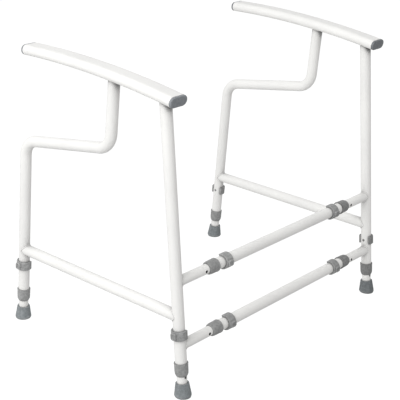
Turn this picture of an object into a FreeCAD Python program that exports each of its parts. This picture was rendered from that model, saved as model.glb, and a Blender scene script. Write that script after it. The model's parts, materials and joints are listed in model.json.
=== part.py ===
import FreeCAD, Part
import math
import os
import Sketcher

# Toilet safety frame: two welded side frames joined by two telescopic crossbars.
#
# Millimetres and degrees. The origin is on the floor, midway between the four feet.
# +X runs across the frame, +Y from the crossbars (front) to the open end (rear), +Z up.
# "left" is the -X side and "right" the +X side.
#
# A leg is an outer tube with a sliding inner tube. A leg's own frame has its origin where the
# leg's axis meets the floor and its Z along the leg; "along" is a distance up that axis.
# Every telescopic joint is the same: an inner tube with a row of holes, a plastic collar on the
# outer tube's mouth, and a C-shaped clip whose pin passes through both tubes.

SIZES = {
    # side frames
    "half_width": 350,            # middle of the frame to the plane of one side frame
    "half_depth": 255,            # middle of the frame to a leg's axis at the floor
    "front_lean": 6.1,            # front legs lean to the rear
    "rear_lean": 3.52,            # rear legs lean to the front
    "tube_diameter": 25.4,
    "tube_wall": 1.3,
    "weld_gap": 0.1,              # left for the weld where one tube is cut to sit on another
    "tube_end": 51.8,             # along the leg, the outer tube's lower end
    "front_leg_length": 594,      # reaches into the armrest before it is cut to it
    "lower_straight": 363.1,      # the rear leg's three straights and two bends
    "first_bend": 76.5,
    "middle_straight": 203,
    "second_bend": 76.1,
    "upper_straight": 128,
    "bend_radius": 42,
    "rail_height": 179.8,
    # armrest: a flat oval tube on one large arc, highest towards the rear
    "arm_width": 48,
    "arm_thickness": 22.5,
    "arm_wall": 1.5,
    "arm_radius": 2275,
    "crest_y": 128.5,
    "crest_z": 660.5,
    "arm_front_angle": 8.76,
    "arm_rear_angle": 1.89,
    "cap_plate": 5.5,
    "cap_bevel": 2,
    "cap_plug": 12,
    "cap_wall": 2,
    "cap_play": 0.15,
    # crossbars
    "upper_bar_height": 253.9,
    "lower_bar_height": 114,
    "bar_length": 507,
    "bar_pin_offset": 197.3,      # middle of the frame to a crossbar's pin
    "stub_length": 242,           # leg's axis to the stub's inner end
    "stub_first_hole": 82.2,      # leg's axis to the stub's outermost hole
    # sliding tubes and their holes
    "slide_diameter": 22,
    "slide_wall": 1.5,
    "slide_start": 6.5,           # along the leg, the inner tube's lower end
    "slide_length": 298.5,
    "leg_pin_height": 141.3,      # along the leg
    "hanging_hole_height": 45.2,  # along the leg, the hole that faces away from the middle
    "leg_hole_pitch": 25,
    "bar_hole_pitch": 23.5,
    "hole_count": 7,              # in a leg's row and in a crossbar stub's row
    "hole_diameter": 6.6,
    # collars
    "collar_start": 47.8,         # along the leg, the collar's lower face
    "collar_length": 29.5,
    "collar_diameter": 30.6,
    "collar_waist": 29,           # diameter where the nose begins
    "collar_nose": 24.6,
    "collar_nose_length": 4.5,
    "collar_lip": 4,              # covers the outer tube's end
    "collar_play": 0.2,           # radial, between the lip and the sliding tube
    "collar_fit": 0.05,           # radial, between the collar and the outer tube
    # clips
    "clip_diameter": 35,
    "clip_height": 20,
    "clip_play": 0.15,
    "clip_opening": 9.9,          # tube's axis to the tips of the arms
    "thumb_width": 14,
    "thumb_height": 16,
    "thumb_reach": 20.5,          # tube's axis to the outer face of the thumb block
    "pin_diameter": 6,
    "pin_reach": 12.4,            # tube's axis to the pin's tip
    # feet
    "foot_base": 37.4,
    "foot_top": 29.2,
    "foot_height": 31,
    "foot_skirt": 3,              # height of the straight band above the floor
    "foot_allowance": 3,          # depth of rubber cut away to sit flat on the floor
    "foot_fit": 0.05,
    "washer_seat": 5,
    "washer_thickness": 1.5,
}

SIDES = {"left": -1, "right": 1}
ENDS = {"front": -1, "rear": 1}
BARS = ("upper", "lower")

document = FreeCAD.newDocument("ToiletSafetyFrame")
sheet = document.addObject("Spreadsheet::Sheet", "dims")
for row, (alias, size) in enumerate(SIZES.items(), start=1):
    sheet.set(f"A{row}", alias)
    sheet.set(f"B{row}", str(size))
    sheet.setAlias(f"B{row}", alias)
document.recompute()

pieces = []


# ---------------------------------------------------------------- sheet and placement

def number(expression):
    """The value of an expression on the sheet, as a plain number."""
    return float(sheet.evalExpression(expression))


def place(piece, x, y, z, turns=()):
    """Put a piece at a point. The last turn is made first, about the piece's own axes."""
    rotations = [f"rotation(vector({axis}); {angle})" for axis, angle in turns]
    rotation = " * ".join(rotations or ["rotation(vector(0; 0; 1); 0)"])
    piece.setExpression("Placement", f"placement(vector({x}; {y}; {z}); {rotation})")


def leg_x(side):
    """Where a side frame's plane is, across the frame."""
    return f"{SIDES[side]} * dims.half_width"


def leg_reach(end, height):
    """How far a leg's axis is from the middle of the frame, front or rear, at a height."""
    return f"(dims.half_depth - {height} * tan(dims.{end}_lean))"


def place_on_leg(piece, side, end, along, turns=()):
    """Put a piece on a leg's axis, its own Z up the leg."""
    lean = f"dims.{end}_lean"
    x = leg_x(side)
    y = f"{ENDS[end]} * (dims.half_depth - ({along}) * sin({lean}))"
    z = f"({along}) * cos({lean})"
    place(piece, x, y, z, [("1; 0; 0", f"{ENDS[end]} * {lean}"), *turns])


def place_on_bar(piece, bar, x, turns=()):
    """Put a piece on a crossbar's axis, its own Z along +X and its own X to the front."""
    height = f"dims.{bar}_bar_height"
    place(piece, x, f"-{leg_reach('front', height)}", height, [("-1; 1; -1", 120), *turns])


def piece_of(shape_object, label):
    """Name a finished piece and keep it for export."""
    shape_object.Label = label
    pieces.append(shape_object)
    return shape_object


# ---------------------------------------------------------------- sketches and features

def new_body(name):
    return document.addObject("PartDesign::Body", name)


def new_sketch(body, role):
    """A sketch on one of the body's own origin planes."""
    sketch = body.newObject("Sketcher::SketchObject", f"{body.Name}_sketch")
    planes = [feature for feature in body.Origin.OriginFeatures if feature.Role == role]
    sketch.AttachmentSupport = [(planes[0], "")]
    sketch.MapMode = "FlatFace"
    return sketch


def bind(sketch, kind, *geometry, to):
    """Add a dimension whose value follows an expression."""
    value = number(to)
    if kind == "Angle":
        value = FreeCAD.Units.Quantity(value, FreeCAD.Units.Angle)
    index = sketch.addConstraint(Sketcher.Constraint(kind, *geometry, value))
    sketch.setExpression(f"Constraints[{index}]", to)


def join(sketch, kind, *geometry):
    sketch.addConstraint(Sketcher.Constraint(kind, *geometry))


def locate(sketch, geometry, point, x, y):
    """Hold a point at x, y from the sketch's origin; 0 puts it on the axis."""
    for kind, axis, distance in (("DistanceX", -2, x), ("DistanceY", -1, y)):
        if distance == "0":
            join(sketch, "PointOnObject", geometry, point, axis)
        else:
            bind(sketch, kind, -1, 1, geometry, point, to=distance)


def add_circle(sketch, diameter, x="0", y="0"):
    centre = FreeCAD.Vector(number(x), number(y), 0)
    circle = Part.Circle(centre, FreeCAD.Vector(0, 0, 1), number(diameter) / 2)
    index = sketch.addGeometry(circle)
    locate(sketch, index, 3, x, y)
    bind(sketch, "Diameter", index, to=diameter)


def add_outline(sketch, corners):
    """A closed outline of straight lines through corners given as expressions."""
    points = [FreeCAD.Vector(number(x), number(y), 0) for x, y in corners]
    count = len(points)
    lines = [sketch.addGeometry(Part.LineSegment(points[i], points[(i + 1) % count]))
             for i in range(count)]
    for i, line in enumerate(lines):
        join(sketch, "Coincident", line, 2, lines[(i + 1) % count], 1)
        locate(sketch, line, 1, *corners[i])


def add_flat_oval(sketch, width, thickness, height="0"):
    """A flat oval centred on the sketch's vertical axis at a height."""
    half_flat = (number(width) - number(thickness)) / 2
    radius = number(thickness) / 2
    level = number(height)
    up = FreeCAD.Vector(0, 0, 1)
    quarter = math.pi / 2

    def end(x, turn):
        circle = Part.Circle(FreeCAD.Vector(x, level, 0), up, radius)
        return sketch.addGeometry(Part.ArcOfCircle(circle, turn - quarter, turn + quarter))

    def flat(x, y):
        return sketch.addGeometry(Part.LineSegment(FreeCAD.Vector(x, y, 0),
                                                   FreeCAD.Vector(-x, y, 0)))

    right = end(half_flat, 0)
    top = flat(half_flat, level + radius)
    left = end(-half_flat, 2 * quarter)
    bottom = flat(-half_flat, level - radius)
    outline = (right, top, left, bottom)
    starts_and_ends = zip(outline, outline[1:] + outline[:1])
    for first, second in starts_and_ends:
        join(sketch, "Tangent", first, 2, second, 1)
    join(sketch, "Equal", right, left)
    join(sketch, "Symmetric", right, 3, left, 3, -2)
    bind(sketch, "Radius", right, to=f"({thickness}) / 2")
    bind(sketch, "DistanceX", left, 3, right, 3, to=f"({width}) - ({thickness})")
    if height == "0":
        join(sketch, "PointOnObject", right, 3, -1)
    else:
        bind(sketch, "DistanceY", -1, 1, right, 3, to=height)


def pad(body, sketch, length, centred=False, backwards=False):
    feature = body.newObject("PartDesign::Pad", f"{body.Name}_pad")
    feature.Profile = sketch
    feature.setExpression("Length", length)
    feature.Midplane = centred
    feature.Reversed = backwards
    return feature


def cut_through(body, sketch, both_sides=True):
    """Cut a sketch's outline through the body, to both sides of its plane or behind it."""
    document.recompute()
    before = body.Shape.Volume
    feature = body.newObject("PartDesign::Pocket", f"{body.Name}_pocket")
    feature.Profile = sketch
    feature.Type = "ThroughAll"
    feature.Midplane = both_sides
    document.recompute()
    if not body.Shape.Volume < before - 0.1:
        raise RuntimeError(f"{body.Name}: a cut removed nothing")
    return feature


def revolve(body, sketch, axis="V_Axis"):
    feature = body.newObject("PartDesign::Revolution", f"{body.Name}_revolution")
    feature.Profile = sketch
    feature.ReferenceAxis = (sketch, [axis])
    return feature


def repeat_up(body, feature, pitch):
    """Repeat a hole up the body's own Z."""
    axes = [item for item in body.Origin.OriginFeatures if item.Role == "Z_Axis"]
    pattern = body.newObject("PartDesign::LinearPattern", f"{body.Name}_pattern")
    pattern.Originals = [feature]
    pattern.Direction = (axes[0], [""])
    pattern.setExpression("Length", f"{pitch} * (dims.hole_count - 1)")
    pattern.setExpression("Occurrences", "dims.hole_count")
    body.Tip = pattern


def tube_body(name, diameter, wall, length, centred=False):
    """A straight round tube on the body's own Z."""
    body = new_body(name)
    ring = new_sketch(body, "XY_Plane")
    add_circle(ring, diameter)
    add_circle(ring, f"{diameter} - 2 * {wall}")
    pad(body, ring, length, centred)
    return body


def cross_hole(body, height, role="YZ_Plane"):
    """A hole through both walls of a tube; on YZ_Plane it runs along the body's X."""
    hole = new_sketch(body, role)
    add_circle(hole, "dims.hole_diameter", y=height)
    return cut_through(body, hole)


def combine(kind, base, tool, name):
    feature = document.addObject(kind, name)
    feature.Base = base
    feature.Tool = tool
    return feature


# ---------------------------------------------------------------- shaping tools

def under_armrests():
    """Everything below both armrests: tubes are cut to it where they are welded on."""
    space = document.addObject("Part::Cylinder", "under_armrests")
    space.setExpression("Radius", "dims.arm_radius - dims.arm_thickness / 2 - dims.weld_gap")
    space.setExpression("Height", "3 * dims.half_width")
    place(space, "-1.5 * dims.half_width", "dims.crest_y", "dims.crest_z - dims.arm_radius",
          [("0; 1; 0", 90)])
    return space


def leg_envelope(side, end):
    """A solid leg with the weld's gap round it, to cut the tubes that are welded to it."""
    envelope = document.addObject("Part::Cylinder", f"{side}_{end}_leg_envelope")
    envelope.setExpression("Radius", "dims.tube_diameter / 2 + dims.weld_gap")
    envelope.setExpression("Height", "dims.front_leg_length")
    place_on_leg(envelope, side, end, "0")
    return envelope


def below_floor():
    """A block under the floor, which cuts the feet flat."""
    block = document.addObject("Part::Box", "below_floor")
    block.setExpression("Length", "4 * dims.half_width")
    block.setExpression("Width", "4 * dims.half_depth")
    block.setExpression("Height", "10 * dims.foot_allowance")
    place(block, "-2 * dims.half_width", "-2 * dims.half_depth", "-10 * dims.foot_allowance")
    return block


# ---------------------------------------------------------------- side frame

def make_armrest(side):
    body = new_body(f"{side}_armrest_body")
    section = new_sketch(body, "XZ_Plane")
    add_flat_oval(section, "dims.arm_width", "dims.arm_thickness", "dims.arm_radius")
    add_flat_oval(section, "dims.arm_width - 2 * dims.arm_wall",
                  "dims.arm_thickness - 2 * dims.arm_wall", "dims.arm_radius")
    arc = revolve(body, section, "H_Axis")
    arc.Type = "TwoAngles"
    arc.setExpression("Angle", "dims.arm_front_angle")
    arc.setExpression("Angle2", "dims.arm_rear_angle")
    place(body, leg_x(side), "dims.crest_y", "dims.crest_z - dims.arm_radius")
    piece_of(body, f"{side}_armrest")


def make_arm_cap(side, end):
    """A plastic end cap: a bevelled plate over the tube's end and a hollow plug inside it."""
    body = new_body(f"{side}_{end}_arm_cap_body")
    face = new_sketch(body, "XY_Plane")
    add_flat_oval(face, "dims.arm_width", "dims.arm_thickness")
    plate = pad(body, face, "dims.cap_plate")
    document.recompute()
    top = max(enumerate(plate.Shape.Faces, start=1), key=lambda item: item[1].CenterOfMass.z)
    bevel = body.newObject("PartDesign::Chamfer", f"{body.Name}_bevel")
    bevel.Base = (plate, [f"Face{top[0]}"])
    bevel.setExpression("Size", "dims.cap_bevel")
    plug = new_sketch(body, "XY_Plane")
    gap = "2 * dims.arm_wall + 2 * dims.cap_play"
    add_flat_oval(plug, f"dims.arm_width - ({gap})", f"dims.arm_thickness - ({gap})")
    hollow = f"{gap} + 2 * dims.cap_wall"
    add_flat_oval(plug, f"dims.arm_width - ({hollow})", f"dims.arm_thickness - ({hollow})")
    pad(body, plug, "dims.cap_plug", backwards=True)
    angle = f"dims.arm_{end}_angle"
    place(body, leg_x(side),
          f"dims.crest_y + {ENDS[end]} * dims.arm_radius * sin({angle})",
          f"dims.crest_z - dims.arm_radius * (1 - cos({angle}))",
          [("1; 0; 0", f"-{ENDS[end]} * (90 + {angle})")])
    piece_of(body, f"{side}_{end}_arm_cap")


def make_front_leg(side, under):
    """The straight outer tube, from the collar to the armrest."""
    tube = tube_body(f"{side}_front_leg_tube", "dims.tube_diameter", "dims.tube_wall",
                     "dims.front_leg_length")
    cross_hole(tube, "dims.leg_pin_height - dims.tube_end")
    place_on_leg(tube, side, "front", "dims.tube_end")
    piece_of(combine("Part::Common", tube, under, f"{side}_front_leg_cut"), f"{side}_front_leg")


def rear_leg_route(body):
    """The rear leg's centre line: three straights joined by two bends the opposite ways."""
    route = new_sketch(body, "YZ_Plane")
    pen = RoutePen(route)
    lower = pen.straight("dims.lower_straight")
    first = pen.bend("dims.first_bend", "dims.bend_radius")
    middle = pen.straight("dims.middle_straight")
    second = pen.bend("-dims.second_bend", "dims.bend_radius")
    upper = pen.straight("dims.upper_straight")

    join(route, "Coincident", lower, 1, -1, 1)
    join(route, "Vertical", lower)
    join(route, "Tangent", lower, 2, first, 1)
    join(route, "Tangent", first, 2, middle, 1)
    join(route, "Tangent", middle, 2, second, 2)
    join(route, "Tangent", second, 1, upper, 1)
    join(route, "Equal", first, second)
    bind(route, "Radius", first, to="dims.bend_radius")
    bind(route, "Angle", middle, to="90 + dims.first_bend")
    bind(route, "Angle", upper, to="90 + dims.first_bend - dims.second_bend")
    return route


class RoutePen:
    """Draws a tube's centre line in a sketch, from the origin and upwards."""

    def __init__(self, sketch):
        self.sketch = sketch
        self.point = FreeCAD.Vector(0, 0, 0)
        self.heading = FreeCAD.Vector(0, 1, 0)

    def straight(self, length):
        start = self.point
        self.point = start + self.heading * number(length)
        line = self.sketch.addGeometry(Part.LineSegment(start, self.point))
        bind(self.sketch, "Distance", line, to=length)
        return line

    def bend(self, angle, radius):
        """Turn by an angle, to the left when it is positive."""
        start = self.point
        turn = number(angle)
        to_the_left = turned(self.heading, 90)
        centre = start + to_the_left * math.copysign(number(radius), turn)
        middle = centre + turned(start - centre, turn / 2)
        self.point = centre + turned(start - centre, turn)
        self.heading = turned(self.heading, turn)
        return self.sketch.addGeometry(Part.Arc(start, middle, self.point))


def turned(vector, angle):
    return FreeCAD.Rotation(FreeCAD.Vector(0, 0, 1), angle).multVec(vector)


def make_rear_leg(side, under):
    """The cranked outer tube: up from the rear foot, forward, then up to the armrest."""
    body = new_body(f"{side}_rear_leg_tube")
    route = rear_leg_route(body)
    for kind, diameter in (("Additive", "dims.tube_diameter"),
                           ("Subtractive", "dims.tube_diameter - 2 * dims.tube_wall")):
        section = new_sketch(body, "XY_Plane")
        add_circle(section, diameter)
        sweep = body.newObject(f"PartDesign::{kind}Pipe", f"{body.Name}_{kind.lower()}_pipe")
        sweep.Profile = section
        sweep.Spine = (route, [])
        document.recompute()
    cross_hole(body, "dims.leg_pin_height - dims.tube_end")
    place_on_leg(body, side, "rear", "dims.tube_end")
    piece_of(combine("Part::Common", body, under, f"{side}_rear_leg_cut"), f"{side}_rear_leg")


def make_side_rail(side, envelopes):
    """The low rail between the front and the rear leg, cut to both."""
    front = leg_reach("front", "dims.rail_height")
    rear = leg_reach("rear", "dims.rail_height")
    tube = tube_body(f"{side}_rail_tube", "dims.tube_diameter", "dims.tube_wall",
                     f"{front} + {rear}")
    place(tube, leg_x(side), f"-{front}", "dims.rail_height", [("1; 0; 0", -90)])
    legs = document.addObject("Part::Compound", f"{side}_leg_envelopes")
    legs.Links = [envelopes["front"], envelopes["rear"]]
    piece_of(combine("Part::Cut", tube, legs, f"{side}_rail_cut"), f"{side}_side_rail")


def make_stub(side, bar, envelope):
    """The inner tube of a crossbar, welded to the front leg, with a row of holes."""
    tube = tube_body(f"{side}_{bar}_stub_tube", "dims.slide_diameter", "dims.slide_wall",
                     "dims.stub_length")
    repeat_up(tube, cross_hole(tube, "dims.stub_first_hole"), "dims.bar_hole_pitch")
    inwards = [("1; 0; 0", 180)] if side == "right" else []
    place_on_bar(tube, bar, leg_x(side), inwards)
    piece_of(combine("Part::Cut", tube, envelope, f"{side}_{bar}_stub_cut"),
             f"{side}_{bar}_stub")


# ---------------------------------------------------------------- legs

def make_leg_slide(side, end):
    """The inner leg tube: a row of pin holes across, and one hole in one wall.

    The single hole faces the front in a front leg and the rear in a rear leg.
    """
    tube = tube_body(f"{side}_{end}_leg_slide_body", "dims.slide_diameter", "dims.slide_wall",
                     "dims.slide_length")
    hanging = new_sketch(tube, "XZ_Plane")
    add_circle(hanging, "dims.hole_diameter", y="dims.hanging_hole_height - dims.slide_start")
    cut_through(tube, hanging, both_sides=False)
    row = cross_hole(tube, "dims.leg_pin_height - dims.slide_start")
    repeat_up(tube, row, "dims.leg_hole_pitch")
    away_from_middle = [("0; 0; 1", 180)] if end == "front" else []
    place_on_leg(tube, side, end, "dims.slide_start", away_from_middle)
    piece_of(tube, f"{side}_{end}_leg_slide")


def make_foot(side, end, floor):
    """A rubber ferrule, closed below, cut flat where it stands on the floor."""
    body = new_body(f"{side}_{end}_foot_rubber")
    outline = new_sketch(body, "XZ_Plane")
    bore = "dims.slide_diameter / 2 + dims.foot_fit"
    add_outline(outline, [
        ("0", "-dims.foot_allowance"),
        ("dims.foot_base / 2", "-dims.foot_allowance"),
        ("dims.foot_base / 2", "dims.foot_skirt"),
        ("dims.foot_top / 2", "dims.foot_height"),
        (bore, "dims.foot_height"),
        (bore, "dims.washer_seat"),
        ("0", "dims.washer_seat"),
    ])
    revolve(body, outline)
    place_on_leg(body, side, end, "0")
    piece_of(combine("Part::Cut", body, floor, f"{side}_{end}_foot_cut"), f"{side}_{end}_foot")


def make_foot_washer(side, end):
    """The steel disc inside a foot that keeps the tube from cutting through the rubber."""
    body = new_body(f"{side}_{end}_foot_washer_body")
    disc = new_sketch(body, "XY_Plane")
    add_circle(disc, "dims.slide_diameter")
    pad(body, disc, "dims.washer_thickness")
    place_on_leg(body, side, end, "dims.washer_seat")
    piece_of(body, f"{side}_{end}_foot_washer")


# ---------------------------------------------------------------- collars and clips

def collar_body(name):
    """A collar: its lip is at its own origin and its sleeve runs up its own Z."""
    body = new_body(name)
    outline = new_sketch(body, "XZ_Plane")
    lip = "dims.slide_diameter / 2 + dims.collar_play"
    sleeve = "dims.tube_diameter / 2 + dims.collar_fit"
    add_outline(outline, [
        (lip, "0"),
        ("dims.collar_nose / 2", "0"),
        ("dims.collar_waist / 2", "dims.collar_nose_length"),
        ("dims.collar_diameter / 2", "dims.collar_length"),
        (sleeve, "dims.collar_length"),
        (sleeve, "dims.collar_lip"),
        (lip, "dims.collar_lip"),
    ])
    revolve(body, outline)
    return body


def clip_body(name):
    """A locking clip on a tube along its own Z: arms open to -X, thumb block at +X.

    The channel between the arms has parallel sides, so that the clip pulls straight off.
    """
    body = new_body(name)
    band = new_sketch(body, "XY_Plane")
    add_circle(band, "dims.clip_diameter")
    pad(body, band, "dims.clip_height", centred=True)
    thumb = new_sketch(body, "XY_Plane")
    add_box(thumb, "dims.tube_diameter / 2", "dims.thumb_reach", "dims.thumb_width / 2")
    pad(body, thumb, "dims.thumb_height", centred=True)

    bore = "dims.tube_diameter / 2 + dims.clip_play"
    hole = new_sketch(body, "XY_Plane")
    add_circle(hole, f"2 * ({bore})")
    cut_through(body, hole)
    channel = new_sketch(body, "XY_Plane")
    add_box(channel, "-dims.clip_diameter", "0", bore)
    cut_through(body, channel)
    tips = new_sketch(body, "XY_Plane")
    add_box(tips, "-dims.clip_diameter", "-dims.clip_opening", "dims.clip_diameter")
    cut_through(body, tips)

    pin = new_sketch(body, "YZ_Plane")
    pin.setExpression("AttachmentOffset.Base.z", "-dims.pin_reach")
    add_circle(pin, "dims.pin_diameter")
    pad(body, pin, "dims.pin_reach + dims.tube_diameter / 2 + 2 * dims.clip_play")
    return body


def add_box(sketch, near, far, half_width):
    """A rectangle from near to far in X, to the same distance either side of the X axis."""
    add_outline(sketch, [(near, f"-({half_width})"), (far, f"-({half_width})"),
                         (far, half_width), (near, half_width)])


def make_leg_collar(side, end):
    collar = collar_body(f"{side}_{end}_leg_collar_body")
    place_on_leg(collar, side, end, "dims.collar_start")
    piece_of(collar, f"{side}_{end}_leg_collar")


def make_leg_clip(side, end):
    """A leg's clip, pushed on from the outer side of the frame."""
    clip = clip_body(f"{side}_{end}_leg_clip_body")
    outwards = [("0; 0; 1", 180)] if side == "left" else []
    place_on_leg(clip, side, end, "dims.leg_pin_height", outwards)
    piece_of(clip, f"{side}_{end}_leg_clip")


def make_bar_collar(side, bar):
    """A crossbar's collar: its lip covers the bar's end."""
    collar = collar_body(f"{side}_{bar}_bar_collar_body")
    lip = f"{SIDES[side]} * (dims.bar_length / 2 + dims.collar_lip)"
    inwards = [("1; 0; 0", 180)] if side == "right" else []
    place_on_bar(collar, bar, lip, inwards)
    piece_of(collar, f"{side}_{bar}_bar_collar")


def make_bar_clip(side, bar):
    """A crossbar's clip, pushed on from the front."""
    clip = clip_body(f"{side}_{bar}_bar_clip_body")
    place_on_bar(clip, bar, f"{SIDES[side]} * dims.bar_pin_offset")
    piece_of(clip, f"{side}_{bar}_bar_clip")


def make_crossbar(bar):
    """The outer tube of a crossbar, with a pin hole near each end."""
    tube = tube_body(f"{bar}_crossbar_body", "dims.tube_diameter", "dims.tube_wall",
                     "dims.bar_length", centred=True)
    for direction in SIDES.values():
        cross_hole(tube, f"{direction} * dims.bar_pin_offset", "XZ_Plane")
    place_on_bar(tube, bar, "0", [("0; 0; 1", 90)])
    piece_of(tube, f"{bar}_crossbar")


# ---------------------------------------------------------------- the frame

def make_frame():
    under = under_armrests()
    floor = below_floor()
    for side in SIDES:
        envelopes = {end: leg_envelope(side, end) for end in ENDS}
        make_armrest(side)
        make_front_leg(side, under)
        make_rear_leg(side, under)
        make_side_rail(side, envelopes)
        for bar in BARS:
            make_stub(side, bar, envelopes["front"])
            make_bar_collar(side, bar)
            make_bar_clip(side, bar)
        for end in ENDS:
            make_arm_cap(side, end)
            make_leg_collar(side, end)
            make_leg_clip(side, end)
            make_leg_slide(side, end)
            make_foot(side, end, floor)
            make_foot_washer(side, end)
    for bar in BARS:
        make_crossbar(bar)


def check_document():
    """Stop if any object failed to build, or any piece isn't one valid solid."""
    for item in document.Objects:
        if {"Invalid", "Error"} & set(item.State):
            raise RuntimeError(f"{item.Label} failed: {item.State}")
    for piece in pieces:
        shape = piece.Shape
        if shape.isNull() or not shape.isValid() or len(shape.Solids) != 1:
            raise RuntimeError(f"{piece.Label} isn't one valid solid")


make_frame()
document.recompute()
check_document()
os.makedirs("parts", exist_ok=True)
for piece in pieces:
    piece.Shape.exportStep(f"parts/{piece.Label}.step")
print(f"{len(pieces)} pieces written")
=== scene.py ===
import json
import math

import bmesh
import bpy
from mathutils import Matrix, Vector


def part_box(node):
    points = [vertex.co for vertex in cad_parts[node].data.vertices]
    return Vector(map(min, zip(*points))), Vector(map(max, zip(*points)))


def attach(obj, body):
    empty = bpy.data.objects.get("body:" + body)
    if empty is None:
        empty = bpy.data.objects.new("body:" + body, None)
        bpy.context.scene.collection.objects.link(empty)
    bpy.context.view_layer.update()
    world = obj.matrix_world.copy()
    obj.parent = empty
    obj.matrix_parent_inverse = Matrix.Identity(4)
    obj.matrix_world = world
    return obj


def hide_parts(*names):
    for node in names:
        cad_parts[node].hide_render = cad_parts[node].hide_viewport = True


# The looks of the toilet safety frame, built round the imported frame.
#
# The object's frame, the stage and the materials are in metres. The outlines and sections of the
# mouldings and weld beads are in millimetres, which new_object turns into metres. A telescopic
# joint's own frame has its Z along the tube: up a leg, or along +X on a crossbar.

MM = 0.001
SIDES = {"left": -1, "right": 1}
ENDS = ("front", "rear")
BARS = ("upper", "lower")
ROUND_STEPS = 96

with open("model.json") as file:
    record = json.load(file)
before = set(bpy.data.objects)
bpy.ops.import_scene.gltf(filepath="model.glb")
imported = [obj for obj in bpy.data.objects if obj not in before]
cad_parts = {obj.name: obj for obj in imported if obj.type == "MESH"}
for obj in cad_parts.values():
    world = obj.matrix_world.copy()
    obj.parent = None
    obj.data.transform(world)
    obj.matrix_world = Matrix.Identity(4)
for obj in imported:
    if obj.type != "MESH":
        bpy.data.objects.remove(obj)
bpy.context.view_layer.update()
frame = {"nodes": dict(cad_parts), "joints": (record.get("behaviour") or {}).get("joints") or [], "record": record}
record = frame["record"]
nodes = frame["nodes"]


# ---------------------------------------------------------------- where things are

def axes_matrix(origin, x, y, z):
    """The frame with these axes at an origin."""
    matrix = Matrix((x, y, z)).transposed().to_4x4()
    matrix.translation = origin
    return matrix


def leg_frame(side, end):
    """A leg's frame: its axis at the floor, Z up the leg, X across the object."""
    sole = next(m for m in record["mounts"] if m["name"] == f"{side}_{end}_foot_sole")
    slide = next(j for j in frame["joints"] if j["name"] == f"{side}_{end}_height_slide")
    up = -Vector(slide["axis"]).normalized()
    across = Vector((1, 0, 0))
    return axes_matrix(Vector(sole["pos_m"]), across, up.cross(across), up)


def bar_frame(bar):
    """A crossbar's frame: the middle of the bar, Z along +X, X to the front."""
    low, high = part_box(f"{bar}_crossbar")
    return axes_matrix((low + high) / 2, Vector((0, -1, 0)), Vector((0, 0, -1)), Vector((1, 0, 0)))


def local_span(node, place):
    """A node's lowest and highest coordinate along a local frame's Z."""
    inverse = place.inverted()
    values = [(inverse @ vertex.co).z for vertex in nodes[node].data.vertices]
    return min(values), max(values)


# ---------------------------------------------------------------- mesh building

def new_object(name, points, faces, place=Matrix.Identity(4)):
    """A smooth-shaded mesh object from points in a local frame, in millimetres."""
    mesh = bpy.data.meshes.new(name)
    mesh.from_pydata([place @ (Vector(p) * MM) for p in points], [], faces)
    made = bmesh.new()
    made.from_mesh(mesh)
    bmesh.ops.recalc_face_normals(made, faces=made.faces)
    made.to_mesh(mesh)
    made.free()
    mesh.shade_smooth()
    piece = bpy.data.objects.new(name, mesh)
    bpy.context.scene.collection.objects.link(piece)
    return piece


def loft(rings, close_ends=False, loop=False):
    """Points and faces of a surface through rings that all have the same number of points."""
    count = len(rings[0])
    last = len(rings) - 1
    points = [point for ring in rings for point in ring]
    faces = []
    for i in range(len(rings) if loop else last):
        first = i * count
        second = ((i + 1) % len(rings)) * count
        for j in range(count):
            k = (j + 1) % count
            faces.append((first + j, first + k, second + k, second + j))
    if close_ends:
        faces.append(tuple(range(count)))
        faces.append(tuple(range(last * count, len(rings) * count)))
    return points, faces


def rounded(corners, steps=5):
    """A closed outline with its corners rounded: corners are (x, y, radius)."""
    outline = []
    count = len(corners)
    for i, (x, y, radius) in enumerate(corners):
        corner = Vector((x, y))
        before = Vector(corners[i - 1][:2]) - corner
        after = Vector(corners[(i + 1) % count][:2]) - corner
        if radius <= 0:
            outline.append(corner)
            continue
        half = before.angle(after) / 2
        reach = min(radius / math.tan(half), before.length * 0.49, after.length * 0.49)
        start = corner + before.normalized() * reach
        finish = corner + after.normalized() * reach
        for step in range(steps + 1):
            t = step / steps
            outline.append(start * (1 - t) ** 2 + corner * 2 * t * (1 - t) + finish * t ** 2)
    return outline


def lathe(outline):
    """The surface of a closed (radius, height) outline turned about Z."""
    rings = []
    for step in range(ROUND_STEPS):
        angle = 2 * math.pi * step / ROUND_STEPS
        rings.append([(r * math.cos(angle), r * math.sin(angle), z) for r, z in outline])
    return loft(rings, loop=True)


def add_modifier(piece, kind, **settings):
    """A modifier with its settings."""
    modifier = piece.modifiers.new(kind.title(), kind)
    for key, value in settings.items():
        setattr(modifier, key, value)


def finish_piece(piece, body, material, replaces=()):
    """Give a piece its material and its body."""
    piece.data.materials.clear()
    piece.data.materials.append(material)
    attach(piece, body)
    if replaces:
        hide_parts(*replaces)


# ---------------------------------------------------------------- materials

COLOUR_INPUTS = slice(6, 8)     # of a Mix node, whose sockets share their names
COLOUR_OUTPUT = 2


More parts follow.
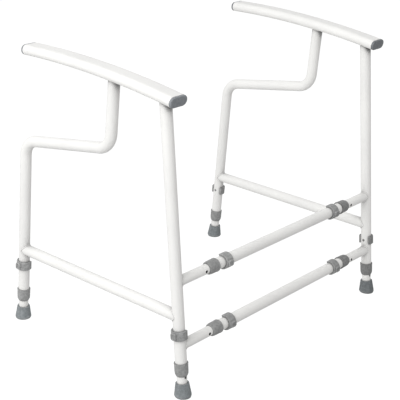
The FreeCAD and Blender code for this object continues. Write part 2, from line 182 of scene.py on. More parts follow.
class Surface:
    """A node material with a Principled shader and short ways to add to it."""

    def __init__(self, name, roughness, metallic=0.0):
        self.material = bpy.data.materials.new(name)
        self.material.use_nodes = True
        self.tree = self.material.node_tree
        self.shader = self.tree.nodes["Principled BSDF"]
        self.shader.inputs["Roughness"].default_value = roughness
        self.shader.inputs["Metallic"].default_value = metallic
        self.place = self.node("ShaderNodeTexCoord").outputs["Object"]

    def node(self, kind, **settings):
        """A new node with its settings."""
        made = self.tree.nodes.new(kind)
        for key, value in settings.items():
            setattr(made, key, value)
        return made

    def link(self, source, target):
        self.tree.links.new(source, target)

    def noise(self, scale, detail, roughness=0.55, stretch=None):
        """Noise of a size given in features per metre, stretched along an axis if asked."""
        texture = self.node("ShaderNodeTexNoise")
        texture.inputs["Scale"].default_value = scale
        texture.inputs["Detail"].default_value = detail
        texture.inputs["Roughness"].default_value = roughness
        if stretch:
            mapping = self.node("ShaderNodeMapping")
            mapping.inputs["Scale"].default_value = stretch
            self.link(self.place, mapping.inputs["Vector"])
            self.link(mapping.outputs["Vector"], texture.inputs["Vector"])
        else:
            self.link(self.place, texture.inputs["Vector"])
        return texture.outputs["Fac"]

    def cells(self, scale):
        """Distance to the nearest of scattered points, so many per metre."""
        texture = self.node("ShaderNodeTexVoronoi")
        texture.inputs["Scale"].default_value = scale
        self.link(self.place, texture.inputs["Vector"])
        return texture.outputs["Distance"]

    def remap(self, source, low, high, new_low, new_high):
        """A value's range low to high stretched to a new range, and clamped there."""
        remap = self.node("ShaderNodeMapRange")
        for socket, value in zip(("From Min", "From Max", "To Min", "To Max"),
                                 (low, high, new_low, new_high)):
            remap.inputs[socket].default_value = value
        self.link(source, remap.inputs["Value"])
        return remap.outputs["Result"]

    def combine(self, operation, first, second):
        """A Math node on two values; each is a socket or a float."""
        maths = self.node("ShaderNodeMath", operation=operation)
        for source, socket in ((first, maths.inputs[0]), (second, maths.inputs[1])):
            if isinstance(source, float):
                socket.default_value = source
            else:
                self.link(source, socket)
        return maths.outputs[0]

    def mix(self, factor, first, second):
        """A colour between two; each is a socket or three numbers."""
        mixer = self.node("ShaderNodeMix", data_type="RGBA")
        self.link(factor, mixer.inputs["Factor"])
        for source, socket in zip((first, second), mixer.inputs[COLOUR_INPUTS]):
            if isinstance(source, tuple):
                socket.default_value = (*source, 1)
            else:
                self.link(source, socket)
        return mixer.outputs[COLOUR_OUTPUT]

    def edges(self, low=0.52, high=0.62):
        """1 on sharp convex edges, 0 elsewhere."""
        pointiness = self.node("ShaderNodeNewGeometry").outputs["Pointiness"]
        return self.remap(pointiness, low, high, 0.0, 1.0)

    def creases(self, distance):
        """1 in the open, lower in corners nearer than a distance."""
        occlusion = self.node("ShaderNodeAmbientOcclusion", samples=8)
        occlusion.inputs["Distance"].default_value = distance
        return occlusion.outputs["AO"]

    def height(self):
        """Height above the floor."""
        split = self.node("ShaderNodeSeparateXYZ")
        self.link(self.place, split.inputs[0])
        return split.outputs["Z"]

    def distance_from_axis(self, point):
        """Distance from a line along X through a point."""
        offset = self.node("ShaderNodeVectorMath", operation="SUBTRACT")
        offset.inputs[1].default_value = point
        self.link(self.place, offset.inputs[0])
        flat = self.node("ShaderNodeVectorMath", operation="MULTIPLY")
        flat.inputs[1].default_value = (0, 1, 1)
        self.link(offset.outputs[0], flat.inputs[0])
        length = self.node("ShaderNodeVectorMath", operation="LENGTH")
        self.link(flat.outputs[0], length.inputs[0])
        return length.outputs["Value"]

    def set(self, socket, source):
        """A number or a socket goes to one of the shader's inputs."""
        if isinstance(source, (int, float)):
            self.shader.inputs[socket].default_value = source
        else:
            self.link(source, self.shader.inputs[socket])

    def bump(self, *layers):
        """Stack bumps, each (height, strength, distance in metres), the first one lowest."""
        normal = None
        for height, strength, distance in layers:
            bump = self.node("ShaderNodeBump")
            bump.inputs["Strength"].default_value = strength
            bump.inputs["Distance"].default_value = distance
            self.link(height, bump.inputs["Height"])
            if normal:
                self.link(normal, bump.inputs["Normal"])
            normal = bump.outputs["Normal"]
        self.link(normal, self.shader.inputs["Normal"])


def powder_coat(name, inside, bore=None):
    """White epoxy powder on steel: orange peel, faint tone drift, painted shade and dust in corners, light rubs.

    It has painted shade where other parts crowd it and a dark painted shadow under the armrests;
    deep inside the tubes it has another tone, painted shade where that tone is near black. With a
    bore, a point on an axis along X and a radius, all within that radius has the inner tone.
    """
    coat = Surface(name, 0.34)
    drift = coat.remap(coat.noise(7, 2), 0.3, 0.7, 0.0, 1.0)
    body = coat.mix(drift, (0.81, 0.805, 0.79), (0.87, 0.865, 0.845))
    specks = coat.remap(coat.noise(900, 2), 0.68, 0.8, 0.0, 0.35)
    body = coat.mix(specks, body, (0.72, 0.72, 0.70))
    rubs = coat.remap(coat.noise(30, 4, 0.7, (1, 1, 0.15)), 0.66, 0.74, 0.0, 0.25)
    body = coat.mix(rubs, body, (0.70, 0.70, 0.69))
    # painted shade and dust: darker in corners that occlusion finds within 6 mm
    corners = coat.remap(coat.creases(6 * MM), 0.0, 0.9, 0.5, 0.0)
    body = coat.mix(corners, body, (0.60, 0.59, 0.56))
    # painted shade: greyer where other parts crowd the coat, found by occlusion within 60 mm
    shade_occlusion = coat.creases(60 * MM)
    body = coat.mix(coat.remap(shade_occlusion, 0.55, 0.93, 1.0, 0.0), body, (0.36, 0.355, 0.35))
    # painted shadow: dark on the legs just under the armrests, where the armrests shade them
    under_arm = coat.remap(coat.height(), ARM_HEIGHT - 30 * MM, ARM_HEIGHT - 18 * MM, 0.0, 1.0)
    armrest_shadow = coat.remap(coat.creases(35 * MM), 0.60, 0.88, 1.0, 0.0)
    body = coat.mix(coat.combine("MULTIPLY", under_arm, armrest_shadow), body, (0.13, 0.128, 0.128))
    # the inner tone in deep hollows and at hole rims; near black, it is painted shade on uncoated steel
    body = coat.mix(coat.remap(shade_occlusion, 0.12, 0.40, 1.0, 0.0), body, inside)
    # a stub's inner surface has the inner tone: painted shade on its uncoated steel
    if bore:
        axis_point, radius = bore
        depth = coat.distance_from_axis(axis_point)
        body = coat.mix(coat.remap(depth, radius - 0.3 * MM, radius, 1.0, 0.0), body, inside)
    coat.set("Base Color", body)
    coat.set("Roughness", coat.remap(coat.noise(45, 3), 0.3, 0.7, 0.28, 0.42))
    coat.set("Coat Weight", 0.12)
    coat.set("Coat Roughness", 0.22)
    coat.bump((coat.noise(420, 2), 0.10, 0.0006), (coat.noise(1600, 2), 0.05, 0.0003))
    return coat.material


def toned(colours, tone):
    """Colours made lighter or darker by a factor."""
    return [tuple(channel * tone for channel in colour) for colour in colours]


def moulded_plastic(name, colours, roughness, tone):
    """Moulded plastic: fine spark-eroded grain, mottling, flow marks, painted shade in creases, and paler worn
    edges.
    """
    plastic = Surface(name, roughness)
    shade, dark, light, worn = toned(colours, tone)
    flow = plastic.remap(plastic.noise(60, 4, 0.6, (1, 1, 0.35)), 0.3, 0.7, 0.0, 1.0)
    body = plastic.mix(flow, dark, light)
    mottle = plastic.remap(plastic.noise(190, 4, 0.75), 0.40, 0.60, 0.0, 0.75)
    body = plastic.mix(mottle, body, shade)
    grain = plastic.noise(2600, 2)
    body = plastic.mix(plastic.remap(grain, 0.55, 0.8, 0.0, 0.3), body, worn)
    # painted shade: near black in creases that occlusion finds within 4 mm
    corners = plastic.remap(plastic.creases(4 * MM), 0.3, 0.9, 0.6, 0.0)
    body = plastic.mix(corners, body, (0.05, 0.05, 0.05))
    rub = plastic.combine("MULTIPLY", plastic.edges(), plastic.remap(
        plastic.noise(160, 3), 0.35, 0.6, 0.25, 0.9))
    body = plastic.mix(rub, body, worn)
    plastic.set("Base Color", body)
    plastic.set("Roughness", plastic.remap(plastic.noise(220, 3), 0.3, 0.7,
                                           roughness - 0.08, roughness + 0.10))
    plastic.bump((grain, 0.22, 0.00025), (plastic.noise(120, 2), 0.06, 0.0006))
    return plastic.material


def foot_rubber(name, tone):
    """Grey rubber with a dull bloom, pitted near the floor."""
    rubber = Surface(name, 0.78)
    shade, dark, light, scuffed, worn = toned(
        ((0.15, 0.165, 0.17), (0.20, 0.22, 0.23), (0.28, 0.30, 0.31), (0.33, 0.33, 0.32),
         (0.34, 0.36, 0.37)), tone)
    bloom = rubber.remap(rubber.noise(90, 4, 0.65), 0.35, 0.7, 0.0, 1.0)
    body = rubber.mix(bloom, dark, light)
    mottle = rubber.remap(rubber.noise(170, 4, 0.75), 0.40, 0.60, 0.0, 0.75)
    body = rubber.mix(mottle, body, shade)
    low = rubber.remap(rubber.height(), 0.0, 8 * MM, 1.0, 0.0)
    scuff = rubber.combine("MULTIPLY", low, rubber.remap(rubber.noise(380, 4, 0.7), 0.4, 0.65,
                                                         0.0, 0.8))
    body = rubber.mix(scuff, body, scuffed)
    edges = rubber.combine("MULTIPLY", rubber.edges(0.52, 0.66), 0.5)
    body = rubber.mix(edges, body, worn)
    rubber.set("Base Color", body)
    rubber.set("Roughness", rubber.remap(rubber.noise(300, 3), 0.3, 0.7, 0.68, 0.88))
    rubber.set("Specular IOR Level", 0.55)
    rubber.bump((rubber.noise(1300, 3), 0.30, 0.0004), (rubber.cells(260), 0.08, 0.0006))
    return rubber.material


def zinc_plate():
    """Zinc-plated steel with the fine lines of blanking and a faint yellow passivate."""
    zinc = Surface("zinc_plated_steel", 0.35, metallic=1.0)
    tint = zinc.remap(zinc.noise(140, 3), 0.3, 0.7, 0.0, 1.0)
    zinc.set("Base Color", zinc.mix(tint, (0.56, 0.56, 0.54), (0.66, 0.65, 0.60)))
    zinc.set("Roughness", zinc.remap(zinc.noise(900, 2, 0.5, (1, 0.05, 1)), 0.3, 0.7, 0.25, 0.5))
    zinc.bump((zinc.noise(1400, 2, 0.5, (1, 0.05, 1)), 0.15, 0.0002))
    return zinc.material


def stub_bore(bar):
    """The axis and radius within which a crossbar stub is bare, painted near black as shade: all but its outer
    surface.
    """
    low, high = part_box(f"left_{bar}_stub")
    return (low + high) / 2, (high.z - low.z) / 2 - 0.2 * MM


ARM_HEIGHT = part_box("left_front_leg")[1].z   # where the front legs meet the armrests
BARE_STEEL_AND_SHADE = (0.012, 0.012, 0.012)           # the dark scale on tube that isn't coated, darkened nearly to black as painted shade
WHITE = powder_coat("white_powder_coat", BARE_STEEL_AND_SHADE)
LEG_WHITE = powder_coat("white_powder_coat_on_leg_slides", (0.80, 0.80, 0.78))
STUB_WHITE = {bar: powder_coat(f"white_powder_coat_on_{bar}_stubs", BARE_STEEL_AND_SHADE, stub_bore(bar))
              for bar in BARS}
GREY_COLOURS = ((0.185, 0.187, 0.185), (0.290, 0.292, 0.290), (0.355, 0.357, 0.357),
                (0.48, 0.48, 0.48))
SLATE_COLOURS = ((0.14, 0.15, 0.165), (0.18, 0.195, 0.21), (0.235, 0.25, 0.265),
                 (0.46, 0.47, 0.48))
# Lit and shaded copies of one plastic and one rubber: their colours are painted darker or paler for how the light
# falls on each moulding.
LIGHT_AND_SHADE_TONES = {"plain": 1.0, "dark": 0.74, "light": 1.17}   # factors on the colours: painted shade below 1, painted light above
GREY = {light_fall: moulded_plastic(f"{light_fall}_grey_moulded_plastic_painted_lighting", GREY_COLOURS, 0.50, tone)
        for light_fall, tone in LIGHT_AND_SHADE_TONES.items()}
RUBBER = {light_fall: foot_rubber(f"{light_fall}_grey_foot_rubber_painted_lighting", tone) for light_fall, tone in LIGHT_AND_SHADE_TONES.items()}
# painted light and shade: the left caps paler, as lit, the right ones darker, as in shade
CAP_LIGHT_AND_SHADE = {"left": 1.16, "right": 0.82}
SLATE = {side: moulded_plastic(f"{side}_slate_moulded_plastic_painted_lighting", SLATE_COLOURS, 0.34, tone)
         for side, tone in CAP_LIGHT_AND_SHADE.items()}
ZINC = zinc_plate()
# mouldings painted darker, as in shade, and paler, as lit
SHADED_MOULDINGS = ("right_front_", "right_upper_bar_collar", "right_lower_bar_collar")
LIT_MOULDINGS = ("left_rear_", "left_upper_bar_clip")


def light_fall_of(node):
    """Which painted light a moulding's plastic or rubber has: dark for shade, light where lit, else plain."""
    if node.startswith(SHADED_MOULDINGS):
        return "dark"
    return "light" if node.startswith(LIT_MOULDINGS) else "plain"


# ---------------------------------------------------------------- collars

COLLAR_BORE = 11.2          # at the lip, round the inner tube
COLLAR_SLEEVE = 12.75       # round the outer tube's mouth
COLLAR_LIP = 4.0
COLLAR_NOSE = 12.0
COLLAR_SHOULDER = (14.3, 5.2)
COLLAR_WALL = (14.75, 10.0)
COLLAR_RIM_FOOT = 14.95
COLLAR_RIM = 15.3
COLLAR_RIM_HEIGHT = 2.4
COLLAR_RIM_FLARE = 0.6


def make_collar(node, body, place, flip):
    """A plastic collar: a thin flared rim, a slight taper, a round nose and a lip inside."""
    low, high = (value / MM for value in local_span(node, place))
    length = high - low
    rim = length - COLLAR_RIM_HEIGHT
    outline = rounded([
        (COLLAR_BORE, 0, 0.5), (COLLAR_NOSE, 0, 0.8), (*COLLAR_SHOULDER, 4.5),
        (*COLLAR_WALL, 6.0), (COLLAR_RIM_FOOT, rim - COLLAR_RIM_FLARE, 0.6), (COLLAR_RIM, rim, 0.4),
        (COLLAR_RIM, length, 0.6), (COLLAR_SLEEVE, length, 0.4),
        (COLLAR_SLEEVE, COLLAR_LIP, 0.2), (COLLAR_BORE, COLLAR_LIP, 0.3),
    ])
    if flip:
        outline = [Vector((r, high - z)) for r, z in outline]
    else:
        outline = [Vector((r, low + z)) for r, z in outline]
    points, faces = lathe(outline)
    piece = new_object(f"{node}_moulding", points, faces, place)
    finish_piece(piece, body, GREY[light_fall_of(node)], [node])


# ---------------------------------------------------------------- clips

CLIP_INNER = 12.85      # hugs the tube
CLIP_OUTER = 17.4
CLIP_HALF_WRAP = 124.5  # degrees either side of the thumb block
CLIP_HALF_HEIGHT = 10.0
THUMB_HALF_WIDTH = 7.0
THUMB_HALF_HEIGHT = 8.0
THUMB_CORNER = 5.0
THUMB_FACE = 20.5
BLOCK_START = 15.0      # inside the band
PIN_RADIUS = 3.0
PIN_START = 14.0        # inside the band
PIN_TIP = -12.4
CLIP_STEPS = 84
CLIP_TIP_START = 0.975  # of half the band, where its blunt tip begins
CLIP_TIP_SHRINK = 0.9
CLIP_BEVEL = 0.3
CLIP_BEVEL_ANGLE = 40   # degrees; softer edges stay as they are


def clip_band():
    """The springy C: a rounded section carried round the tube, blunt at its two tips."""
    rings = []
    for step in range(CLIP_STEPS + 1):
        share = 2 * step / CLIP_STEPS - 1
        angle = math.radians(CLIP_HALF_WRAP) * share
        tip = max(0.0, (abs(share) - CLIP_TIP_START) / (1 - CLIP_TIP_START))
        shrink = CLIP_TIP_SHRINK * (1 - math.sqrt(max(0.0, 1 - tip ** 2)))
        outer = CLIP_OUTER - shrink
        half = CLIP_HALF_HEIGHT - shrink
        section = rounded([
            (CLIP_INNER, -half, 0.4), (outer, -half, 1.3), (outer, 0.0, 0),
            (outer, half, 1.3), (CLIP_INNER, half, 0.4),
        ], 4)
        rings.append([(r * math.cos(angle), r * math.sin(angle), z) for r, z in section])
    return loft(rings, close_ends=True)


def dished_block():
    """The thumb block along X: rounded corners, a raised rim and a dished face."""
    signs = ((-1, -1), (1, -1), (1, 1), (-1, 1))
    outline = rounded([(THUMB_HALF_WIDTH * y, THUMB_HALF_HEIGHT * z, THUMB_CORNER)
                       for y, z in signs], 8)
    below_face = ((1.4, 0.0), (0.6, 0.2), (0.1, 0.7), (0.0, 1.2), (0.0, 2.2), (0.4, 2.7),
                  (1.5, 3.2), (1.9, 3.9), (2.0, 5.8))
    profile = [(BLOCK_START, 0.0), *((THUMB_FACE - depth, inset) for depth, inset in below_face)]
    rings = []
    for x, inset in profile:
        scale_y = (THUMB_HALF_WIDTH - inset) / THUMB_HALF_WIDTH
        scale_z = (THUMB_HALF_HEIGHT - inset) / THUMB_HALF_HEIGHT
        rings.append([(x, y * scale_y, z * scale_z) for y, z in outline])
    return loft(rings, close_ends=True)


def round_pin(steps=32):
    """The pin along X, with a rounded tip."""
    rings = []
    for x, size in ((PIN_START, 1.0), (PIN_TIP + 1.2, 1.0), (PIN_TIP + 0.4, 0.88),
                    (PIN_TIP, 0.62)):
        radius = PIN_RADIUS * size
        rings.append([(x, radius * math.cos(2 * math.pi * k / steps),
                       radius * math.sin(2 * math.pi * k / steps)) for k in range(steps)])
    return loft(rings, close_ends=True)


def clip_template():
    """One closed mesh, in millimetres, of the band, the thumb block and the pin."""
    unscaled = Matrix.Scale(1 / MM, 4)
    solids = (clip_band(), dished_block(), round_pin())
    pieces = [new_object(f"clip_solid_{i}", *solid, unscaled) for i, solid in enumerate(solids)]
    base = pieces[0]
    for other in pieces[1:]:
        add_modifier(base, "BOOLEAN", operation="UNION", solver="EXACT", object=other)
    add_modifier(base, "BEVEL", width=CLIP_BEVEL, segments=2, limit_method="ANGLE",
                 angle_limit=math.radians(CLIP_BEVEL_ANGLE))
    mesh = bpy.data.meshes.new_from_object(
        base.evaluated_get(bpy.context.evaluated_depsgraph_get()))
    for piece in pieces:
        bpy.data.objects.remove(piece)
    return mesh


def make_clip(node, place, turned, template):
    """A locking clip, a copy of the template, on the body of its own name."""
    low, high = local_span(node, place)
    place = place @ Matrix.Translation((0, 0, (low + high) / 2))
    if turned:
        place = place @ Matrix.Rotation(math.pi, 4, "Z")
    mesh = template.copy()
    mesh.transform(place @ Matrix.Scale(MM, 4))
    piece = bpy.data.objects.new(f"{node}_moulding", mesh)
    bpy.context.scene.collection.objects.link(piece)
    finish_piece(piece, node, GREY[light_fall_of(node)], [node])


# ---------------------------------------------------------------- arm caps

CAP_PLATE = 5.5
CAP_NEAR = 4.0          # nearer than this to the face, or to a cap's top or bottom, is on it
CAP_SEAM = ((0.02, 1.0), (0.1, 0.35), (0.4, 0.08), (1.0, 0.0))      # (up from below, inset)
CAP_CROWN = ((2.4, 0.0), (1.7, 0.12), (1.1, 0.42), (0.6, 0.95), (0.3, 1.7), (0.12, 2.8),
             (0.03, 4.4), (0.0, 6.5))                               # (below the face, inset)
PLUG_INSET = 1.65
PLUG_WALL = 2.0
PLUG_CHAMFER = 0.5
PLUG_FLOOR = 0.2        # below the plate


def make_arm_cap(node, body, side):
    """The armrest's end cap: a softly crowned plate with a thin seam, and its hollow plug."""
    points = [vertex.co for vertex in nodes[node].data.vertices]
    across = Vector((1, 0, 0))
    middle = sum(points, Vector()) / len(points)
    outwards = Vector((0, math.copysign(1, middle.y), 0))
    tangent = cap_direction(points, outwards)
    place = axes_matrix(Vector(), across, tangent.cross(across), tangent)
    inverse = place.inverted()
    local = [inverse @ point for point in points]
    top = max(point.z for point in local)
    bottom = min(point.z for point in local)
    plate = [point for point in local if point.z > top - CAP_NEAR * MM]
    left, right = min(p.x for p in plate), max(p.x for p in plate)
    back, front = min(p.y for p in plate), max(p.y for p in plate)
    half_wide = (right - left) / 2 / MM
    half_thick = (front - back) / 2 / MM
    place = place @ Matrix.Translation(((left + right) / 2, (back + front) / 2, top))
    depth = (top - bottom) / MM

    def ring(z, inset):
        return [(x, y, z) for x, y in flat_oval(half_wide - inset, half_thick - inset)]

    rings = [ring(rise - CAP_PLATE, inset) for rise, inset in CAP_SEAM]
    rings += [ring(-drop, inset) for drop, inset in CAP_CROWN]
    points, faces = loft(rings[::-1])
    count = len(rings[0])
    faces.append(tuple(range(count)))
    inside = PLUG_INSET + PLUG_WALL
    seam_rise, seam_inset = CAP_SEAM[0]
    plug = [ring(*level) for level in (
        (seam_rise - CAP_PLATE, seam_inset), (-CAP_PLATE, PLUG_INSET),
        (PLUG_CHAMFER - depth, PLUG_INSET), (-depth, PLUG_INSET + PLUG_CHAMFER),
        (-depth, inside), (-CAP_PLATE - PLUG_FLOOR, inside))]
    offset = len(points)
    more_points, more_faces = loft(plug)
    points += more_points
    faces += [tuple(i + offset for i in face) for face in more_faces]
    faces.append(tuple(offset + (len(plug) - 1) * count + i for i in range(count)))
    piece = new_object(f"{node}_moulding", points, faces, place)
    weld_mesh(piece.data)
    finish_piece(piece, body, SLATE[side], [node])


def cap_direction(points, outwards):
    """The way a cap's flat face looks: the plane through its outermost points."""
    low = min(p.z for p in points) + CAP_NEAR * MM
    high = max(p.z for p in points) - CAP_NEAR * MM
    lower = max((p for p in points if p.z < low), key=lambda p: p.dot(outwards))
    upper = max((p for p in points if p.z > high), key=lambda p: p.dot(outwards))
    along = upper - lower
    along.x = 0
    normal = Vector((1, 0, 0)).cross(along).normalized()
    return normal if normal.dot(outwards) > 0 else -normal


def flat_oval(half_wide, half_thick, steps=20):
    """A flat oval's outline, the same number of points whatever its size."""
    flat = half_wide - half_thick
    outline = []
    for centre, start in ((flat, -90), (-flat, 90)):
        for step in range(steps + 1):
            angle = math.radians(start + 180 * step / steps)
            outline.append((centre + half_thick * math.cos(angle),
                            half_thick * math.sin(angle)))
    return outline


def weld_mesh(mesh):
    """Join points that coincide and turn the faces outwards."""
    made = bmesh.new()
    made.from_mesh(mesh)
    bmesh.ops.remove_doubles(made, verts=made.verts, dist=1e-6)
    bmesh.ops.recalc_face_normals(made, faces=made.faces)
    made.to_mesh(mesh)
    made.free()
    mesh.shade_smooth()


# ---------------------------------------------------------------- weld beads

BEAD_RADIUS = 1.7
BEAD_RIPPLE = 0.16
BEAD_PITCH = 2.6
BEAD_STEPS = 192
BEAD_SECTION = 14
CUT_DEPTH = 15          # no tube's end is cut deeper than this
WALL_TOLERANCE = 0.06   # how near a point of the outer wall lies to the tube's radius
LEG_AXIS_HEIGHT = 0.5   # metres up the front leg, to a point on its axis
UPPER_RUN_TURN = 0.4    # degrees between the rear leg's lower and upper runs
UPPER_END_DEPTH = 8     # the rear leg's cut end lies within this of its top
UPPER_RUN_BACK = 60     # down the upper run, to a point on its axis


def end_loop(node, axis_point, axis, radius, towards):
    """A tube's cut end: its outer corner as (angle, distance along the axis), sorted."""
    side = axis.orthogonal().normalized()
    other = axis.cross(side)
    offsets = [vertex.co - axis_point for vertex in nodes[node].data.vertices]
    furthest = max(offset.dot(axis) * towards for offset in offsets)
    found = {}
    for offset in offsets:
        along = offset.dot(axis)
        flat = offset - axis * along
        at_end = along * towards > furthest - CUT_DEPTH * MM
        if at_end and abs(flat.length - radius) < WALL_TOLERANCE * MM:
            angle = round(math.atan2(flat.dot(other), flat.dot(side)), 3)
            if angle not in found or along * towards > found[angle] * towards:
                found[angle] = along
    return side, other, sorted(found.items())


def make_bead(name, body, node, axis_point, axis, radius, towards):
    """A weld bead along a tube's cut end, lightly rippled."""
    axis = axis.normalized()
    side, other, loop = end_loop(node, axis_point, axis, radius, towards)
    around = 2 * math.pi
    wrapped = [(loop[-1][0] - around, loop[-1][1]), *loop, (loop[0][0] + around, loop[0][1])]

    def corner(angle):
        angle = (angle + math.pi) % around - math.pi
        for (a0, d0), (a1, d1) in zip(wrapped, wrapped[1:]):
            if a0 <= angle <= a1:
                share = (angle - a0) / max(a1 - a0, 1e-9)
                distance = d0 + (d1 - d0) * share
                break
        out = side * math.cos(angle) + other * math.sin(angle)
        return axis_point + out * radius + axis * distance

    path = [corner(-math.pi + around * (i + 0.5) / BEAD_STEPS) for i in range(BEAD_STEPS)]
    turns = [around * k / BEAD_SECTION for k in range(BEAD_SECTION)]
    rings = []
    travelled = 0.0
    for i, point in enumerate(path):
        ahead = (path[(i + 1) % BEAD_STEPS] - path[i - 1]).normalized()
        out = (point - axis_point).normalized()
        out = (out - ahead * out.dot(ahead)).normalized()
        up = ahead.cross(out)
        travelled += (point - path[i - 1]).length / MM if i else 0.0
        size = BEAD_RADIUS + BEAD_RIPPLE * math.sin(around * travelled / BEAD_PITCH)
        rings.append([(point + (out * math.cos(turn) + up * math.sin(turn)) * size * MM) / MM
                      for turn in turns])
    points, faces = loft(rings, loop=True)
    piece = new_object(name, points, faces)
    finish_piece(piece, body, WHITE)


def make_beads(side):
    """Welds at both ends of the rail, at the stubs' outer ends and under the armrest."""
    body = f"{side}_side_frame"
    rail_low, rail_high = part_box(f"{side}_side_rail")
    middle = (rail_low + rail_high) / 2
    along = Vector((0, 1, 0))
    radius = (rail_high.x - rail_low.x) / 2
    for towards, end in ((-1, "front"), (1, "rear")):
        make_bead(f"{side}_rail_{end}_weld", body, f"{side}_side_rail", middle, along, radius,
                  towards)
    for bar in BARS:
        low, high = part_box(f"{side}_{bar}_stub")
        middle = (low + high) / 2
        make_bead(f"{side}_{bar}_stub_weld", body, f"{side}_{bar}_stub", middle,
                  Vector((1, 0, 0)), (high.z - low.z) / 2, SIDES[side])
    leg = leg_frame(side, "front")
    up = leg.to_3x3() @ Vector((0, 0, 1))
    low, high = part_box(f"{side}_front_leg")
    radius = (high.x - low.x) / 2
    start = leg.translation + up * LEG_AXIS_HEIGHT
    make_bead(f"{side}_front_leg_weld", body, f"{side}_front_leg", start, up, radius, 1)
    make_bead(f"{side}_rear_leg_weld", body, f"{side}_rear_leg", *upper_run(side), radius, 1)


def upper_run(side):
    """A point on the axis of the rear leg's upper run, below its cut end, and its direction."""
    node = f"{side}_rear_leg"
    up = leg_frame(side, "rear").to_3x3() @ Vector((0, 0, 1))
    direction = Matrix.Rotation(math.radians(UPPER_RUN_TURN), 3, "X") @ up
    low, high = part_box(node)
    end = [v.co for v in nodes[node].data.vertices if v.co.z > high.z - UPPER_END_DEPTH * MM]
    front = min(end, key=lambda p: p.y)
    rear = max(end, key=lambda p: p.y)
    middle = (front + rear) / 2
    middle.x = (low.x + high.x) / 2
    return middle - direction * UPPER_RUN_BACK * MM, direction


# ---------------------------------------------------------------- feet

FOOT_TOP = (14.6, 31.0)     # radius and height of the wall's top
FOOT_BASE = (18.65, 3.6)    # and of its foot
FOOT_BORE = 11.05
FOOT_MOUTH = ((FOOT_BORE, 29.6, 0.4), (11.5, 31.0, 0.6))
SOLE_THICKNESS = 5.0
SOLE_EDGE = 17.2
SOLE_GROOVES = ((15.2, 14.4, 12.6, 12.0), (9.2, 8.6, 6.6, 6.0))    # radii, from outside in
SOLE_GROOVE_DEPTH = 1.2
GROOVE_COUNT = 8            # these are round the wall
GROOVE_PITCH = 2.6
GROOVE_DEPTH = 0.35
GROOVE_HALF_WIDTH = 0.8
FIRST_GROOVE = 27.0


def foot_grooves():
    """Shallow rings moulded round the wall, from the top one down, as outline corners."""
    corners = []
    taper = (FOOT_BASE[0] - FOOT_TOP[0]) / (FOOT_TOP[1] - FOOT_BASE[1])
    for groove in range(GROOVE_COUNT):
        middle = FIRST_GROOVE - groove * GROOVE_PITCH
        for rise, depth in ((GROOVE_HALF_WIDTH, 0.0), (0.0, GROOVE_DEPTH),
                            (-GROOVE_HALF_WIDTH, 0.0)):
            height = middle + rise
            wall = FOOT_TOP[0] + taper * (FOOT_TOP[1] - height)
            corners.append((wall - depth, height, 0))
    return corners


def make_foot(node, body, place):
    """A rubber ferrule: ringed tapering wall, thick open rim, grooves under a level sole."""
    sole = [(radius, depth, 0.3) for groove in SOLE_GROOVES
            for radius, depth in zip(groove, (0.0, SOLE_GROOVE_DEPTH, SOLE_GROOVE_DEPTH, 0.0))]
    outline = rounded([
        (0.0, SOLE_THICKNESS, 0), (FOOT_BORE, SOLE_THICKNESS, 0.3), *FOOT_MOUTH,
        (*FOOT_TOP, 0.7), *foot_grooves(), (*FOOT_BASE, 4.0), (SOLE_EDGE, 0.0, 1.2), *sole,
        (0.0, 0.0, 0),
    ], 4)
    to_floor = place.to_3x3()
    up = to_floor @ Vector((0, 0, 1))
    rings = []
    for step in range(ROUND_STEPS):
        angle = 2 * math.pi * step / ROUND_STEPS
        ring = []
        for r, z in outline:
            flat = Vector((r * math.cos(angle), r * math.sin(angle), 0))
            drop = (to_floor @ flat).z / up.z
            share = max(0.0, 1 - max(z, 0.0) / SOLE_THICKNESS)
            ring.append(flat + Vector((0, 0, z - drop * share)))
        rings.append(ring)
    points, faces = loft(rings, loop=True)
    piece = new_object(f"{node}_rubber", points, faces, place)
    weld_mesh(piece.data)
    finish_piece(piece, body, RUBBER[light_fall_of(node)], [node])


# ---------------------------------------------------------------- the stage

CAMERA_AZIMUTH = -49.63
CAMERA_ELEVATION = 21.37
CAMERA_ROLL = 1.96
CAMERA_PLACE = Vector((-1.8612, -1.5681, 1.2256))
CAMERA_LENS = 99.08
CAMERA_FAR = 50
WORLD_ABOVE = 0.80
WORLD_BELOW = 0.58
WORLD_BLEND = 0.6       # the height on a unit sphere, up and down, over which these blend
WORLD_TILT = (-0.09, 0.11, 0.0)
KEY_POWER = 51
KEY_PLACE = Vector((-2.57, -0.45, 1.88))
KEY_SIZE = 3.0
FLOOR_GLOW = 0.82       # keeps the floor near white and the shadows on it faint
FLOOR_CLEARANCE = 0.01  # between the floor and the feet when every leg is at its longest
FLOOR_HALF = 12
BACKDROP_RADIUS = 9     # of the round wall that the floor curves up into
BACKDROP_SWEEP = 3
BACKDROP_HEIGHT = 15


def make_camera():
    """The camera, turned by its azimuth and elevation, then rolled."""
    azimuth = math.radians(CAMERA_AZIMUTH)
    elevation = math.radians(CAMERA_ELEVATION)
    roll = math.radians(CAMERA_ROLL)
    back = Vector((math.sin(azimuth) * math.cos(elevation),
                   -math.cos(azimuth) * math.cos(elevation), math.sin(elevation)))
    level = Vector((math.cos(azimuth), math.sin(azimuth), 0))
    upright = back.cross(level)
    right = level * math.cos(roll) + upright * math.sin(roll)
    up = upright * math.cos(roll) - level * math.sin(roll)
    data = bpy.data.cameras.new("camera")
    data.lens = CAMERA_LENS
    data.clip_end = CAMERA_FAR
    camera = bpy.data.objects.new("camera", data)
    camera.matrix_world = axes_matrix(CAMERA_PLACE, right, up, back)
    bpy.context.scene.collection.objects.link(camera)
    bpy.context.scene.camera = camera


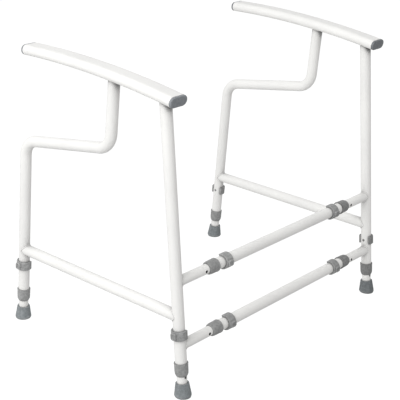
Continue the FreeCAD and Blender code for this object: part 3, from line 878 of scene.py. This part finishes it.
def make_floor():
    """A wide pale floor, below the feet of legs at their longest, and a round backdrop."""
    reach = max(joint["range_m"][1] for joint in frame["joints"]
                if joint["name"].endswith("height_slide"))
    half = FLOOR_HALF / MM
    level = -(reach + FLOOR_CLEARANCE) / MM
    floor = new_object("floor", [(-half, -half, level), (half, -half, level),
                                 (half, half, level), (-half, half, level)], [(0, 1, 2, 3)])
    backdrop = new_object("backdrop", *loft(backdrop_rings(level)))
    backdrop.visible_shadow = False
    surface = Surface("studio_floor", 0.9)
    tone = surface.remap(surface.noise(1.5, 2), 0.3, 0.7, 0.0, 1.0)
    surface.set("Base Color", surface.mix(tone, (0.24, 0.24, 0.24), (0.26, 0.26, 0.26)))
    surface.set("Specular IOR Level", 0.1)
    surface.shader.inputs["Emission Color"].default_value = (1.0, 1.0, 1.0, 1)
    surface.set("Emission Strength", FLOOR_GLOW)
    for piece in (floor, backdrop):
        piece.data.materials.append(surface.material)
        piece.visible_diffuse = False
        piece.visible_glossy = False


def backdrop_rings(level, sweep_steps=16):
    """Rings up the round wall behind everything, in millimetres, from the floor's level."""
    profile = []
    for step in range(sweep_steps + 1):
        angle = math.pi / 2 * step / sweep_steps
        profile.append((BACKDROP_RADIUS + BACKDROP_SWEEP * (math.sin(angle) - 1),
                        BACKDROP_SWEEP * (1 - math.cos(angle))))
    profile.append((BACKDROP_RADIUS, BACKDROP_HEIGHT))
    turns = [2 * math.pi * k / ROUND_STEPS for k in range(ROUND_STEPS)]
    return [[(radius / MM * math.cos(turn), radius / MM * math.sin(turn), height / MM + level)
             for turn in turns] for radius, height in profile]


def make_key():
    """One large soft light, above and to the left of the object, facing its origin."""
    data = bpy.data.lights.new("key", "AREA")
    data.energy = KEY_POWER
    data.size = KEY_SIZE
    light = bpy.data.objects.new("key", data)
    light.location = KEY_PLACE
    light.rotation_euler = (-KEY_PLACE).to_track_quat("-Z", "Y").to_euler()
    bpy.context.scene.collection.objects.link(light)


def make_world():
    """A pale studio, brighter overhead than below, and brighter to the left and the rear."""
    world = bpy.data.worlds.new("studio")
    world.use_nodes = True
    tree = world.node_tree
    background = tree.nodes["Background"]
    background.inputs["Color"].default_value = (1.0, 1.0, 1.0, 1)
    direction = tree.nodes.new("ShaderNodeTexCoord")
    split = tree.nodes.new("ShaderNodeSeparateXYZ")
    ramp = tree.nodes.new("ShaderNodeMapRange")
    for socket, value in (("From Min", -WORLD_BLEND), ("From Max", WORLD_BLEND),
                          ("To Min", WORLD_BELOW), ("To Max", WORLD_ABOVE)):
        ramp.inputs[socket].default_value = value
    tree.links.new(direction.outputs["Generated"], split.inputs[0])
    tree.links.new(split.outputs["Z"], ramp.inputs["Value"])
    tilt = tree.nodes.new("ShaderNodeVectorMath")
    tilt.operation = "DOT_PRODUCT"
    tilt.inputs[1].default_value = WORLD_TILT
    total = tree.nodes.new("ShaderNodeMath")
    tree.links.new(direction.outputs["Generated"], tilt.inputs[0])
    tree.links.new(ramp.outputs["Result"], total.inputs[0])
    tree.links.new(tilt.outputs["Value"], total.inputs[1])
    tree.links.new(total.outputs[0], background.inputs["Strength"])
    bpy.context.scene.world = world


# ---------------------------------------------------------------- put it together

def dress_cad_nodes():
    """The tubes and washers keep their CAD shape and get their finish."""
    by_slot = {"white_paint": WHITE, "washer_steel": ZINC}
    by_ending = {"_leg_slide": LEG_WHITE,
                 **{f"_{bar}_stub": STUB_WHITE[bar] for bar in BARS}}
    for part in record["subparts"]:
        finish = by_slot.get(part["material_slot"])
        for ending, material in by_ending.items():
            if part["node"].endswith(ending):
                finish = material
        if finish:
            mesh = nodes[part["node"]].data
            mesh.materials.clear()
            mesh.materials.append(finish)


dress_cad_nodes()
clip_mesh = clip_template()
for side in SIDES:
    make_beads(side)
    for end in ENDS:
        leg = leg_frame(side, end)
        make_collar(f"{side}_{end}_leg_collar", f"{side}_side_frame", leg, False)
        make_foot(f"{side}_{end}_foot", f"{side}_{end}_leg_extension", leg)
        make_clip(f"{side}_{end}_leg_clip", leg, side == "left", clip_mesh)
        make_arm_cap(f"{side}_{end}_arm_cap", f"{side}_side_frame", side)
    for bar in BARS:
        place = bar_frame(bar)
        make_collar(f"{side}_{bar}_bar_collar", "crossbars", place, side == "right")
        make_clip(f"{side}_{bar}_bar_clip", place, False, clip_mesh)

make_floor()
make_world()
make_key()
make_camera()
bpy.context.scene.view_settings.view_transform = "Standard"
